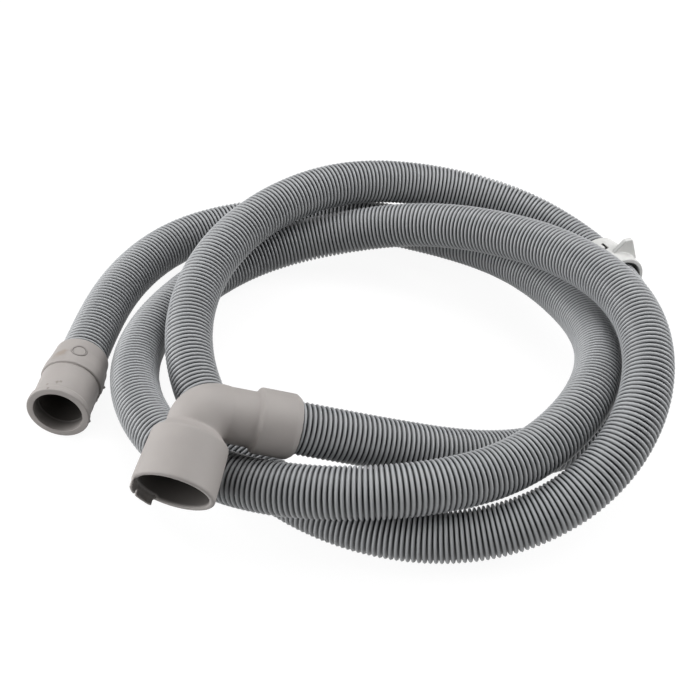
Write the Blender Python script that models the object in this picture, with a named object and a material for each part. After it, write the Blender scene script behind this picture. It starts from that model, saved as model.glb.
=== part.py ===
"""Dishwasher drain hose: a free ribbed hose lying in nearly three loose turns, with an elbow cuff on one end,
a straight cuff on the other and a white clip snapped round it. Metres, +Z up, lying on Z = 0."""
import math

import bmesh
import bpy
import numpy as np
from mathutils import Matrix, Vector

MM = 0.001

# Hose
HOSE_OD = 21.5 * MM
HOSE_STEPS = 72
HOSE_BEVEL_RESOLUTION = 4

# Clearance that keeps two seated pieces just apart
SEAT_GAP = 0.3 * MM
HOSE_BORE_RADIUS = HOSE_OD / 2 + SEAT_GAP

# Sides of the round pieces
CUFF_SIDES = 48
CLIP_SIDES = 40
FILLET_STEPS = 3
WELD = 0.01 * MM

# Straight cuff, lengths measured from its rear rim, where the hose goes in
CUFF_LENGTH = 42.6 * MM
CUFF_GRIP_DEPTH = 16.0 * MM
CUFF_RIM_RADIUS = 12.3 * MM
CUFF_CONE_START = 13.5 * MM
CUFF_CONE_RADIUS = 13.75 * MM
CUFF_STEP_AT = 25.0 * MM
CUFF_SLEEVE_RADIUS = 13.0 * MM
CUFF_LIP_RADIUS = 13.95 * MM
CUFF_LIP_WIDTH = 2.8 * MM
CUFF_MOUTH_RADIUS = 10.85 * MM
CUFF_LEDGE_DEPTH = 5.2 * MM
CUFF_LEDGE = 0.6 * MM
CUFF_BORE_DEPTH = 21.0 * MM
CUFF_PASSAGE_RADIUS = 8.6 * MM

# Elbow cuff: collar and bend lengths measured from the collar's rim, where the hose goes in
ELBOW_GRIP_DEPTH = 12.5 * MM
ELBOW_RIM_RADIUS = 11.7 * MM
ELBOW_COLLAR_RADIUS = 13.15 * MM
ELBOW_COLLAR_LENGTH = 15.5 * MM
ELBOW_CHAMFER = 2.2 * MM
ELBOW_NECK_RADIUS = 11.1 * MM
ELBOW_VERTEX = 38.3 * MM
ELBOW_BEND_RADIUS = 12.5 * MM
ELBOW_BEND_ANGLE = math.radians(79.0)
ELBOW_BEND_ROLL = math.radians(-114.8)
ELBOW_BEND_STEPS = 10
ELBOW_BULGE = 0.6 * MM
ELBOW_FLARE = 2.6 * MM
ELBOW_PASSAGE_RADIUS = 8.0 * MM
# How far each bore's rounded end stops short of the corner where the two axes meet, which keeps the bend's wall
ELBOW_BORE_SET_BACK = 3.0 * MM

# Elbow socket: lengths measured back from its mouth
SOCKET_REACH = 35.3 * MM
SOCKET_LENGTH = 25.2 * MM
SOCKET_RADIUS = 16.4 * MM
SOCKET_TOP_RADIUS = 15.6 * MM
SOCKET_WALL = 1.6 * MM
SOCKET_BORE_RADIUS = SOCKET_TOP_RADIUS - SOCKET_WALL
SOCKET_SHOULDER = 8.0 * MM
SOCKET_BORE_DEPTH = 19.0 * MM
SOCKET_LIP_ROUND = 0.8 * MM
TONGUE_LENGTH = 2.8 * MM
TONGUE_THICKNESS = 1.1 * MM
TONGUE_ANGLE = math.radians(75.0)
TONGUE_AT = math.radians(304.5)
NICK_ANGLE = math.radians(4.0)
NICK_AT = math.radians(306.0)
KEYWAY_DEPTH = 8.0 * MM

# Clip, lengths measured along the hose from its rear rim
CLIP_SEGMENT = 9
CLIP_LENGTH = 21.5 * MM
CLIP_SLACK = 0.8 * MM
CLIP_BORE_RADIUS = HOSE_OD / 2 + CLIP_SLACK
CLIP_RIM_WALL = 0.8 * MM
CLIP_WALL = 2.6 * MM
CLIP_HOOD_LENGTH = 6.5 * MM
CLIP_HOOD_CLEARANCE = 1.1 * MM
CLIP_HOOD_WALL = 1.7 * MM
CLIP_FLARE_LENGTH = 6.0 * MM
CLIP_OPENING = math.radians(80.0)
EAR_THICKNESS = 2.2 * MM
EAR_RISE = 5.85 * MM
EAR_WIDTH = 10.6 * MM
EAR_CORNER = 1.5 * MM
EAR_FOOT = 0.15 * MM
EAR_FOOT_LEVEL = 3.0 * MM
SLOT_WIDTH = 0.7 * MM
SLOT_LENGTH = 4.6 * MM
SLOT_TURN = 2.8 * MM
SLOT_AT = math.radians(66.0)
SLOT_START = 4.4 * MM

# Route of the hose's centreline between the two rims, in millimetres: hand-picked points on the table
# plan, with the height of the centre above the table. Half of HOSE_OD is the height of a run on the table.
ROUTE = [
    # from the elbow's collar down to the table at the front
    (-21.5, -94, 43.5), (23, -90, 28), (66, -82, 15),
    # right side, the lowest of three runs, up to the clip
    (106, -62, 11), (131, -27, 12), (134, 17, 13), (117, 59, 14),
    # back, rising to pass over the two runs at the left
    (83, 87, 20), (41, 95, 28), (-3, 85, 36), (-40, 60, 37),
    # down the left side and under the elbow
    (-65, 23, 33), (-72, -21, 26), (-59, -63, 18), (-31, -97, 13),
    # front run on the table, then up over the right side
    (8, -118, 11), (53, -123, 14), (93, -110, 26), (119, -77, 41), (123, -35, 49),
    # second run along the back, going down to the left
    (105, 6, 47), (74, 38, 39), (35, 60, 29), (-8, 67, 18), (-49, 55, 13), (-80, 23, 13),
    # left side, under the elbow's socket and over the front run
    (-95, -20, 17), (-88, -63, 22), (-61, -98, 26), (-21, -117, 32), (24, -119, 35),
    # inner run at the right, down to the table at the back
    (66, -103, 33), (97, -71, 34), (109, -30, 29), (101, 13, 21), (77, 50, 16), (40, 76, 12),
    # under the high run at the back left and round to the straight cuff
    (-3, 90, 11), (-48, 88, 11), (-86, 68, 13), (-110, 31, 14), (-120, -15, 14.5),
]

HOSE_GREY = (0.36, 0.37, 0.38)
CUFF_GREY = (0.36, 0.33, 0.31)
CLIP_WHITE = (0.75, 0.75, 0.73)


def clear_scene():
    for item in list(bpy.context.scene.objects):
        bpy.data.objects.remove(item, do_unlink=True)


def finish(name, colour, roughness):
    """A Principled BSDF material with one colour."""
    material = bpy.data.materials.new(name)
    material.use_nodes = True
    shader = material.node_tree.nodes["Principled BSDF"]
    shader.inputs["Base Color"].default_value = (*colour, 1.0)
    shader.inputs["Roughness"].default_value = roughness
    shader.inputs["Metallic"].default_value = 0.0
    return material


def mesh_object(name, bm, material):
    """Turns a bmesh into a linked object with outward faces."""
    bmesh.ops.recalc_face_normals(bm, faces=bm.faces)
    mesh = bpy.data.meshes.new(name)
    bm.to_mesh(mesh)
    bm.free()
    item = bpy.data.objects.new(name, mesh)
    item.data.materials.append(material)
    bpy.context.scene.collection.objects.link(item)
    return item


def smooth_curve(points, count):
    """Natural cubic spline through the points, read evenly by length."""
    points = np.array(points, dtype=float)
    knots = np.concatenate([[0.0], np.cumsum(np.linalg.norm(np.diff(points, axis=0), axis=1))])
    steps = np.diff(knots)
    size = len(points)
    system = np.eye(size)
    target = np.zeros((size, 3))
    for i in range(1, size - 1):
        system[i, i - 1:i + 2] = steps[i - 1], 2 * (steps[i - 1] + steps[i]), steps[i]
        slopes = (points[i + 1] - points[i]) / steps[i], (points[i] - points[i - 1]) / steps[i - 1]
        target[i] = 6 * (slopes[0] - slopes[1])
    bends = np.linalg.solve(system, target)

    def read(values):
        span = np.clip(np.searchsorted(knots, values) - 1, 0, size - 2)
        after = (values - knots[span])[:, None]
        width = steps[span][:, None]
        before = width - after
        cubic = (bends[span] * before ** 3 + bends[span + 1] * after ** 3) / (6 * width)
        left = (points[span] / width - bends[span] * width / 6) * before
        right = (points[span + 1] / width - bends[span + 1] * width / 6) * after
        return cubic + left + right

    fine = np.linspace(0.0, knots[-1], 40 * size)
    lengths = np.concatenate([[0.0], np.cumsum(np.linalg.norm(np.diff(read(fine), axis=0), axis=1))])
    return read(np.interp(np.linspace(0.0, lengths[-1], count), lengths, fine))


def rounded(corners):
    """Outline of (x, radius, fillet) corners, with each fillet as a short arc of points."""
    outline = []
    size = len(corners)
    for i, (x, r, fillet) in enumerate(corners):
        corner = Vector((x, r))
        before = Vector(corners[i - 1][:2]) - corner
        after = Vector(corners[(i + 1) % size][:2]) - corner
        if fillet <= 0:
            outline.append(corner)
            continue
        half = before.angle(after) / 2
        reach = fillet / math.tan(half)
        start = corner + before.normalized() * reach
        end = corner + after.normalized() * reach
        centre = corner + (before.normalized() + after.normalized()).normalized() * fillet / math.sin(half)
        first = start - centre
        sweep = first.angle_signed(end - centre)
        for k in range(FILLET_STEPS + 1):
            outline.append(centre + Matrix.Rotation(-sweep * k / FILLET_STEPS, 2) @ first)
    return outline


def frame_at(origin, direction, up=Vector((0, 0, 1))):
    """Matrix whose X axis is the direction and whose Z axis is as near up as it can be."""
    x_axis = Vector(direction).normalized()
    y_axis = up.cross(x_axis).normalized()
    z_axis = x_axis.cross(y_axis)
    turn = Matrix((x_axis, y_axis, z_axis)).transposed().to_4x4()
    return Matrix.Translation(origin) @ turn


def turned(outline, sides):
    """Solid of revolution about X from (x, radius) points: a ring, or a plug if its ends are on the axis."""
    bm = bmesh.new()
    verts = [bm.verts.new((p.x, 0.0, p.y)) for p in outline]
    plug = outline[0].y < 1e-6 and outline[-1].y < 1e-6
    edges = [bm.edges.new((verts[i - 1], verts[i])) for i in range(1 if plug else 0, len(verts))]
    bmesh.ops.spin(
        bm, geom=verts + edges, cent=(0, 0, 0), axis=(1, 0, 0), dvec=(0, 0, 0),
        angle=math.tau, steps=sides, use_merge=True, use_duplicate=False,
    )
    bmesh.ops.remove_doubles(bm, verts=bm.verts, dist=1e-6)
    return bm


def sector(inner, outer, start, end, middle, spread, steps=10):
    """Solid piece of a ring about X, from station start to end, spread either side of an angle."""
    bm = bmesh.new()
    verts = []
    for x in (start, end):
        for radius in (inner, outer):
            for k in range(steps + 1):
                angle = middle - spread / 2 + spread * k / steps
                verts.append(bm.verts.new((x, radius * math.cos(angle), radius * math.sin(angle))))
    rows = [verts[i:i + steps + 1] for i in range(0, len(verts), steps + 1)]
    near_in, near_out, far_in, far_out = rows
    for k in range(steps):
        bm.faces.new((near_in[k], near_in[k + 1], near_out[k + 1], near_out[k]))
        bm.faces.new((far_in[k], far_out[k], far_out[k + 1], far_in[k + 1]))
        bm.faces.new((near_in[k], far_in[k], far_in[k + 1], near_in[k + 1]))
        bm.faces.new((near_out[k], near_out[k + 1], far_out[k + 1], far_out[k]))
    for k in (0, steps):
        bm.faces.new((near_in[k], near_out[k], far_out[k], far_in[k]))
    return bm


def apply_all(item):
    """Replaces the mesh by its evaluated form, with slivers closed up, and drops the modifiers."""
    graph = bpy.context.evaluated_depsgraph_get()
    mesh = bpy.data.meshes.new_from_object(item.evaluated_get(graph))
    bm = bmesh.new()
    bm.from_mesh(mesh)
    bmesh.ops.remove_doubles(bm, verts=bm.verts, dist=WELD)
    bmesh.ops.dissolve_degenerate(bm, edges=bm.edges, dist=WELD)
    bm.to_mesh(mesh)
    bm.free()
    item.modifiers.clear()
    item.data = mesh


def joined(item, helpers):
    """Works the helper solids into the item one after the other and removes them."""
    for helper, operation in helpers:
        modifier = item.modifiers.new(operation.lower(), "BOOLEAN")
        modifier.operation = operation
        modifier.solver = "EXACT"
        modifier.object = helper
        apply_all(item)
        bpy.data.objects.remove(helper, do_unlink=True)


def hose(name, centreline, material):
    """Plain tube of the hose's outer diameter along the centreline."""
    data = bpy.data.curves.new(name, "CURVE")
    data.dimensions = "3D"
    data.bevel_depth = HOSE_OD / 2
    data.bevel_resolution = HOSE_BEVEL_RESOLUTION
    data.use_fill_caps = True
    spline = data.splines.new("POLY")
    spline.points.add(len(centreline) - 1)
    for point, place in zip(spline.points, centreline):
        point.co = (*place, 1.0)
    item = bpy.data.objects.new(name, data)
    item.data.materials.append(material)
    bpy.context.scene.collection.objects.link(item)
    return item


def straight_cuff(name, rim, direction, material):
    """Turned rubber cuff: rear grip, widening cone, step, plain sleeve and lip."""
    bore_end = CUFF_LENGTH - CUFF_BORE_DEPTH
    ledge_at = CUFF_LENGTH - CUFF_LEDGE_DEPTH
    lip_start = CUFF_LENGTH - CUFF_LIP_WIDTH
    inner = CUFF_MOUTH_RADIUS - CUFF_LEDGE
    corners = [
        (0.0, HOSE_BORE_RADIUS, 0.0),
        (0.0, CUFF_RIM_RADIUS, 0.6 * MM),
        (CUFF_CONE_START, CUFF_RIM_RADIUS + 0.35 * MM, 3.0 * MM),
        (CUFF_STEP_AT - 3.0 * MM, CUFF_CONE_RADIUS, 2.0 * MM),
        (CUFF_STEP_AT, CUFF_CONE_RADIUS, 0.3 * MM),
        (CUFF_STEP_AT + 0.2 * MM, CUFF_SLEEVE_RADIUS - 0.15 * MM, 0.0),
        (CUFF_STEP_AT + 1.2 * MM, CUFF_SLEEVE_RADIUS, 0.0),
        (lip_start - 0.8 * MM, CUFF_SLEEVE_RADIUS - 0.1 * MM, 0.5 * MM),
        (lip_start, CUFF_LIP_RADIUS - 0.1 * MM, 0.3 * MM),
        (CUFF_LENGTH, CUFF_LIP_RADIUS, 0.9 * MM),
        (CUFF_LENGTH, CUFF_MOUTH_RADIUS, 0.5 * MM),
        (ledge_at, CUFF_MOUTH_RADIUS, 0.0),
        (ledge_at - CUFF_LEDGE, inner, 0.0),
        (bore_end, inner, 1.0 * MM),
        (bore_end, CUFF_PASSAGE_RADIUS, 0.0),
        (CUFF_GRIP_DEPTH + SEAT_GAP, CUFF_PASSAGE_RADIUS, 0.0),
        (CUFF_GRIP_DEPTH + SEAT_GAP, HOSE_BORE_RADIUS, 0.0),
    ]
    item = mesh_object(name, turned(rounded(corners), CUFF_SIDES), material)
    item.matrix_world = frame_at(rim, direction)
    return item


def elbow_place(rim, direction):
    """Function from a station on the elbow's centreline to the frame there, bending towards its Z."""
    start = frame_at(rim, direction) @ Matrix.Rotation(ELBOW_BEND_ROLL, 4, "X")
    bend_start = ELBOW_VERTEX - ELBOW_BEND_RADIUS * math.tan(ELBOW_BEND_ANGLE / 2)
    arc = ELBOW_BEND_RADIUS * ELBOW_BEND_ANGLE

    def place(station):
        straight = min(station, bend_start)
        turn = min(max(station - bend_start, 0.0), arc) / ELBOW_BEND_RADIUS
        beyond = max(station - bend_start - arc, 0.0)
        step = Vector((straight, 0.0, 0.0))
        step += ELBOW_BEND_RADIUS * Vector((math.sin(turn), 0.0, 1.0 - math.cos(turn)))
        rotation = Matrix.Rotation(-turn, 4, "Y")
        step += rotation @ Vector((beyond, 0.0, 0.0))
        return start @ Matrix.Translation(step) @ rotation

    return place, bend_start, arc


def elbow_tube(place, bend_start, arc):
    """Solid collar, neck and bend: rings along the centreline, flaring into the socket."""
    neck = ELBOW_NECK_RADIUS
    straight = rounded([
        (ELBOW_CHAMFER / 2, 0.0, 0.0),
        (0.0, 0.0, 0.0),
        (0.0, ELBOW_RIM_RADIUS, 0.0),
        (ELBOW_CHAMFER, ELBOW_COLLAR_RADIUS, 0.8 * MM),
        (ELBOW_COLLAR_LENGTH, ELBOW_COLLAR_RADIUS, 1.2 * MM),
        (ELBOW_COLLAR_LENGTH + 2.6 * MM, neck, 1.6 * MM),
        (bend_start, neck, 0.0),
    ])[2:]
    rings = [(p.x, p.y) for p in straight]
    for k in range(1, ELBOW_BEND_STEPS):
        part = k / ELBOW_BEND_STEPS
        rings.append((bend_start + arc * part, neck + ELBOW_BULGE * math.sin(math.pi * part)))
    rings += [(bend_start + arc + step * MM, neck + ELBOW_FLARE * flare) for step, flare in (
        (-1.4, 0.12), (0.0, 0.4), (1.2, 0.75), (2.4, 0.95), (4.5, 1.0))]
    bm = bmesh.new()
    loops = []
    for station, radius in rings:
        matrix = place(station)
        angles = [math.tau * k / CUFF_SIDES for k in range(CUFF_SIDES)]
        places = [Vector((0.0, radius * math.cos(a), radius * math.sin(a))) for a in angles]
        loops.append([bm.verts.new(matrix @ place_on_ring) for place_on_ring in places])
    for near, far in zip(loops, loops[1:]):
        for k in range(CUFF_SIDES):
            n = (k + 1) % CUFF_SIDES
            bm.faces.new((near[k], near[n], far[n], far[k]))
    bm.faces.new(loops[0])
    bm.faces.new(loops[-1])
    return bm


def round_end(x, radius, direction, steps=8):
    """Corners of a quarter circle from a cylinder's edge to the axis."""
    turns = [math.pi / 2 * k / steps for k in range(steps + 1)]
    return [(x + direction * radius * math.sin(a), radius * math.cos(a), 0.0) for a in turns[:-1]]


def elbow_cuff(name, rim, direction, material):
    """Moulded rubber elbow: collar, neck, bend and socket, hollow right through, with a keyed lip."""
    place, bend_start, arc = elbow_place(rim, direction)
    vertex = place(0.0) @ Matrix.Translation((ELBOW_VERTEX, 0.0, 0.0))
    turned_away = vertex @ Matrix.Rotation(-ELBOW_BEND_ANGLE, 4, "Y")
    mouth = turned_away @ Matrix.Translation((SOCKET_REACH, 0.0, 0.0))
    inner = SOCKET_BORE_RADIUS
    seat = ELBOW_GRIP_DEPTH + SEAT_GAP
    neck_bore = ELBOW_PASSAGE_RADIUS + 0.4 * MM
    bore_reach = SOCKET_REACH - ELBOW_BORE_SET_BACK
    neck_reach = ELBOW_VERTEX - ELBOW_BORE_SET_BACK
    item = mesh_object(name, elbow_tube(place, bend_start, arc), material)
    socket = mesh_object("socket", turned(rounded([
        (0.0, 0.0, 0.0),
        (0.0, SOCKET_RADIUS, SOCKET_LIP_ROUND),
        (SOCKET_SHOULDER - SOCKET_LENGTH, SOCKET_TOP_RADIUS, SOCKET_SHOULDER / 2),
        (3.4 * MM - SOCKET_LENGTH, SOCKET_TOP_RADIUS - 0.3 * MM, 1.2 * MM),
        (0.9 * MM - SOCKET_LENGTH, ELBOW_NECK_RADIUS + ELBOW_FLARE * 0.6, 0.8 * MM),
        (-SOCKET_LENGTH, ELBOW_NECK_RADIUS - 1.0 * MM, 0.0),
        (-SOCKET_LENGTH, 0.0, 0.0),
    ]), CUFF_SIDES), material)
    bore = mesh_object("bore", turned(rounded([
        (2.0 * MM, 0.0, 0.0),
        (2.0 * MM, inner + 2.6 * MM, 0.0),
        (-0.6 * MM, inner, 1.0 * MM),
        (-SOCKET_BORE_DEPTH, inner, 0.0),
        (-SOCKET_BORE_DEPTH - 3.0 * MM, ELBOW_PASSAGE_RADIUS, 0.0),
        *round_end(-bore_reach, ELBOW_PASSAGE_RADIUS, -1),
        (-bore_reach - ELBOW_PASSAGE_RADIUS, 0.0, 0.0),
    ]), CUFF_SIDES), material)
    grip = mesh_object("grip", turned(rounded([
        (-2.0 * MM, 0.0, 0.0),
        (-2.0 * MM, HOSE_BORE_RADIUS, 0.0),
        (seat, HOSE_BORE_RADIUS, 0.0),
        (seat, neck_bore, 0.0),
        *round_end(neck_reach, neck_bore, 1),
        (neck_reach + neck_bore, 0.0, 0.0),
    ]), CUFF_SIDES), material)
    crest = SOCKET_RADIUS - 0.4 * MM
    root = crest - TONGUE_THICKNESS
    tongue = mesh_object("tongue", sector(
        root, crest, -3.0 * MM, TONGUE_LENGTH, TONGUE_AT, TONGUE_ANGLE), material)
    keyway = mesh_object("keyway", sector(
        inner - 2.0 * MM, root - 0.1 * MM, -KEYWAY_DEPTH, 1.0 * MM,
        TONGUE_AT, 1.1 * TONGUE_ANGLE), material)
    nick = mesh_object("nick", sector(
        root - 1.0 * MM, crest + 1.0 * MM, 0.6 * MM, 2 * TONGUE_LENGTH,
        NICK_AT, NICK_ANGLE, steps=2), material)
    for helper in (socket, bore, tongue, keyway, nick):
        helper.matrix_world = mouth
    grip.matrix_world = place(0.0)
    joined(item, [
        (socket, "UNION"), (bore, "DIFFERENCE"), (grip, "DIFFERENCE"),
        (tongue, "UNION"), (keyway, "DIFFERENCE"), (nick, "DIFFERENCE"),
    ])
    return item


def ear_plate():
    """Upright plate standing on the clip's upper right quarter, as a closed outline pushed along X."""
    bm = bmesh.new()
    root = CLIP_BORE_RADIUS + CLIP_HOOD_CLEARANCE
    top = root + EAR_RISE
    outline = rounded([
        (-3.0 * MM, root + 0.5 * MM, 0.0), (-1.0 * MM, root + 1.4 * MM, 0.0),
        (EAR_WIDTH * 0.3, top, 2 * EAR_CORNER), (EAR_WIDTH, top - 0.3 * MM, EAR_CORNER),
        (root + EAR_FOOT, EAR_FOOT_LEVEL, 0.0),
    ])
    angles = [math.radians(a) for a in range(14, 105, 10)]
    outline += [Vector((root * math.cos(a), root * math.sin(a))) for a in angles]
    face = bm.faces.new([bm.verts.new((0.0, p.x, p.y)) for p in outline])
    made = bmesh.ops.extrude_face_region(bm, geom=[face])
    moved = [v for v in made["geom"] if isinstance(v, bmesh.types.BMVert)]
    bmesh.ops.translate(bm, verts=moved, vec=(EAR_THICKNESS, 0.0, 0.0))
    return bm


def clip(name, matrix, material):
    """Moulded clip: a snap band that widens to an ear, and a short hood with room round the hose."""
    hood = CLIP_BORE_RADIUS + CLIP_HOOD_CLEARANCE
    shoulder = CLIP_LENGTH - CLIP_HOOD_LENGTH
    corners = [
        (0.0, CLIP_BORE_RADIUS, 0.0),
        (0.0, CLIP_BORE_RADIUS + CLIP_RIM_WALL, 0.4 * MM),
        (shoulder - CLIP_FLARE_LENGTH, CLIP_BORE_RADIUS + CLIP_WALL, CLIP_FLARE_LENGTH / 2),
        (shoulder, CLIP_BORE_RADIUS + CLIP_WALL, 0.4 * MM),
        (shoulder, hood + CLIP_HOOD_WALL - 0.3 * MM, 0.2 * MM),
        (CLIP_LENGTH, hood + CLIP_HOOD_WALL, 0.5 * MM),
        (CLIP_LENGTH, hood, 0.3 * MM),
        (shoulder + 1.0 * MM, hood, 0.0),
        (shoulder, CLIP_BORE_RADIUS, 0.0),
    ]
    item = mesh_object(name, turned(rounded(corners), CLIP_SIDES), material)
    ear = mesh_object("ear", ear_plate(), material)
    ear.location.x = shoulder - EAR_THICKNESS
    mouth = mesh_object("mouth", sector(
        HOSE_OD / 4, HOSE_OD, -CLIP_LENGTH, 2 * CLIP_LENGTH, -math.pi / 2, CLIP_OPENING, steps=12), material)
    reach = CLIP_BORE_RADIUS + 2 * CLIP_WALL
    corner = SLOT_START + SLOT_LENGTH
    turn = SLOT_TURN / CLIP_BORE_RADIUS
    width = SLOT_WIDTH / CLIP_BORE_RADIUS
    along = mesh_object("along", sector(
        HOSE_OD / 2, reach, SLOT_START, corner, SLOT_AT, width, steps=1), material)
    across = mesh_object("across", sector(
        HOSE_OD / 2, reach, corner - SLOT_WIDTH, corner,
        SLOT_AT + (turn - width) / 2, turn, steps=2), material)
    joined(item, [(ear, "UNION"), (along, "DIFFERENCE"), (across, "DIFFERENCE"), (mouth, "DIFFERENCE")])
    item.matrix_world = matrix @ Matrix.Translation((-CLIP_LENGTH / 2, 0.0, 0.0))
    return item


def settle(items):
    """Moves everything together so that it lies on Z = 0 with the middle of its footprint at the origin."""
    graph = bpy.context.evaluated_depsgraph_get()
    corners = []
    for item in items:
        view = item.evaluated_get(graph)
        mesh = view.to_mesh()
        corners.extend(item.matrix_world @ vert.co for vert in mesh.vertices)
        view.to_mesh_clear()
    places = np.array(corners)
    low, high = places.min(axis=0), places.max(axis=0)
    shift = Vector((-(low[0] + high[0]) / 2, -(low[1] + high[1]) / 2, -low[2]))
    for item in items:
        item.matrix_world = Matrix.Translation(shift) @ item.matrix_world


def main():
    clear_scene()
    hose_grey = finish("hose_grey", HOSE_GREY, 0.45)
    cuff_grey = finish("cuff_grey", CUFF_GREY, 0.6)
    clip_white = finish("clip_white", CLIP_WHITE, 0.5)

    route = smooth_curve([[v * MM for v in point] for point in ROUTE], HOSE_STEPS - 2)
    fine = smooth_curve([[v * MM for v in point] for point in ROUTE], 4000)
    first, last = Vector(route[0]), Vector(route[-1])
    into_elbow = Vector(fine[0] - fine[1]).normalized()
    into_cuff = Vector(fine[-1] - fine[-2]).normalized()
    ends = [first + into_elbow * ELBOW_GRIP_DEPTH], [last + into_cuff * CUFF_GRIP_DEPTH]
    tube = hose("corrugated_hose", ends[0] + [Vector(p) for p in route] + ends[1], hose_grey)

    elbow = elbow_cuff("elbow_cuff", first, into_elbow, cuff_grey)
    straight = straight_cuff("straight_cuff", last, into_cuff, cuff_grey)

    ahead = Vector(route[CLIP_SEGMENT + 1])
    behind = Vector(route[CLIP_SEGMENT])
    between = Vector(fine[round((CLIP_SEGMENT + 0.5) / (len(route) - 1) * (len(fine) - 1))])
    middle = between.lerp((ahead + behind) / 2, 0.5)
    holder = clip("hose_clip", frame_at(middle, behind - ahead), clip_white)
    settle([tube, elbow, straight, holder])


main()
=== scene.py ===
"""Looks of a dishwasher drain hose: ribbed hose, elbow cuff, straight cuff and clip, with their finishes."""

import logging
import math
from dataclasses import dataclass, field
from enum import Enum

import bmesh
import bpy
import numpy as np
from mathutils import Matrix, Vector


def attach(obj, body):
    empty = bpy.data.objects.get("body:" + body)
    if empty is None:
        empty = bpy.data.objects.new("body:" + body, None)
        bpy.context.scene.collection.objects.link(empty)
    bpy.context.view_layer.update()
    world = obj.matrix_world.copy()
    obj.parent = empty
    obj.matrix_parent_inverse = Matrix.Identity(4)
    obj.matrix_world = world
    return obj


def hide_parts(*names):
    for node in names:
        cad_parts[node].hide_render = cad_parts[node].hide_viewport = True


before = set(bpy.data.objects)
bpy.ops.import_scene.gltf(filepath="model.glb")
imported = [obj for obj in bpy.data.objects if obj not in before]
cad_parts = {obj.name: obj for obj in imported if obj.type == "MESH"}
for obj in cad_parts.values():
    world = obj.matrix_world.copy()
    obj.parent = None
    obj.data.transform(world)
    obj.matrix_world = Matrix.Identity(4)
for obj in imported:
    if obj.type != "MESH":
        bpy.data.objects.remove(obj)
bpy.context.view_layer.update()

LOG = logging.getLogger("drain_hose")
MM = 0.001
WELD = 0.01 * MM
BODY = "root"

# Move from the route's own table plan to the settled frame
SETTLE = Vector((-3.1361, 15.1069, -0.1049)) * MM

# Route of the hose's centreline between the two rims, in millimetres on the table plan
ROUTE = [
    # from the elbow's collar down to the table at the front
    (-21.5, -94, 43.5), (23, -90, 28), (66, -82, 15),
    # right side, the lowest of three runs, up to the clip
    (106, -62, 11), (131, -27, 12), (134, 17, 13), (117, 59, 14),
    # back, rising to pass over the two runs at the left
    (83, 87, 20), (41, 95, 28), (-3, 85, 36), (-40, 60, 37),
    # down the left side and under the elbow
    (-65, 23, 33), (-72, -21, 26), (-59, -63, 18), (-31, -97, 13),
    # front run on the table, then up over the right side
    (8, -118, 11), (53, -123, 14), (93, -110, 26), (119, -77, 41), (123, -35, 49),
    # second run along the back, going down to the left
    (105, 6, 47), (74, 38, 39), (35, 60, 29), (-8, 67, 18), (-49, 55, 13), (-80, 23, 13),
    # left side, under the elbow's socket and over the front run
    (-95, -20, 17), (-88, -63, 22), (-61, -98, 26), (-21, -117, 32), (24, -119, 35),
    # inner run at the right, down to the table at the back
    (66, -103, 33), (97, -71, 34), (109, -30, 29), (101, 13, 21), (77, 50, 16), (40, 76, 12),
    # under the high run at the back left and round to the straight cuff
    (-3, 90, 11), (-48, 88, 11), (-86, 68, 13), (-110, 31, 14), (-120, -15, 14.5),
]


class Slot(Enum):
    """Names of the material slots of the record."""

    HOSE = "hose_grey"
    CUFF = "cuff_grey"
    CLIP = "clip_white"


class Cut(Enum):
    """Ways of working one solid into another."""

    JOIN = "UNION"
    TAKE = "DIFFERENCE"


# Node trees


class Graph:
    """A node tree with short calls for adding and linking its nodes."""

    def __init__(self, tree: bpy.types.NodeTree) -> None:
        """Keeps the tree.

        Args:
            tree: Shader or geometry node tree to build in.
        """
        self.tree = tree

    def add(self, kind: str, inputs: dict | None = None, **settings: object) -> bpy.types.Node:
        """Adds one node.

        Args:
            kind: Node type.
            inputs: Values or output sockets by input name or number.
            **settings: Properties of the node itself.

        Returns:
            The new node.
        """
        node = self.tree.nodes.new(kind)
        for name, value in settings.items():
            setattr(node, name, value)
        for key, value in (inputs or {}).items():
            if isinstance(value, bpy.types.NodeSocket):
                self.tree.links.new(value, node.inputs[key])
            else:
                node.inputs[key].default_value = value
        return node

    def math(self, operation: str, *values: object) -> bpy.types.NodeSocket:
        """Adds a math node and returns its output.

        Args:
            operation: Name of the operation.
            *values: Numbers or output sockets, in order.

        Returns:
            The output socket.
        """
        inputs = {i: value for i, value in enumerate(values)}
        return self.add("ShaderNodeMath", inputs, operation=operation).outputs[0]

    def mix(self, share: object, first: object, second: object) -> bpy.types.NodeSocket:
        """Adds a colour mix.

        Args:
            share: Number or socket, 0 gives the first colour.
            first: Colour or socket.
            second: Colour or socket.

        Returns:
            The mixed colour's socket.
        """
        node = self.add("ShaderNodeMix", {0: share, 6: first, 7: second}, data_type="RGBA")
        return node.outputs[2]

    def span(self, value: object, low: float, high: float, start: float, end: float) -> bpy.types.NodeSocket:
        """Maps a value from one range to another, clamped.

        Args:
            value: Socket to map.
            low: Lowest value read.
            high: Highest value read.
            start: Result at low.
            end: Result at high.

        Returns:
            The mapped value's socket.
        """
        node = self.add("ShaderNodeMapRange", {0: value, 1: low, 2: high, 3: start, 4: end})
        return node.outputs[0]

    def noise(
        self, place: object, scale: float, detail: float = 3.0, rough: float = 0.55,
    ) -> bpy.types.NodeSocket:
        """Adds a noise texture.

        Args:
            place: Socket of the coordinates.
            scale: Scale of the noise per metre.
            detail: Number of octaves.
            rough: Roughness of the octaves.

        Returns:
            The noise value's socket.
        """
        inputs = {"Vector": place, "Scale": scale, "Detail": detail, "Roughness": rough}
        return self.add("ShaderNodeTexNoise", inputs).outputs[0]


# Finishes


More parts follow.
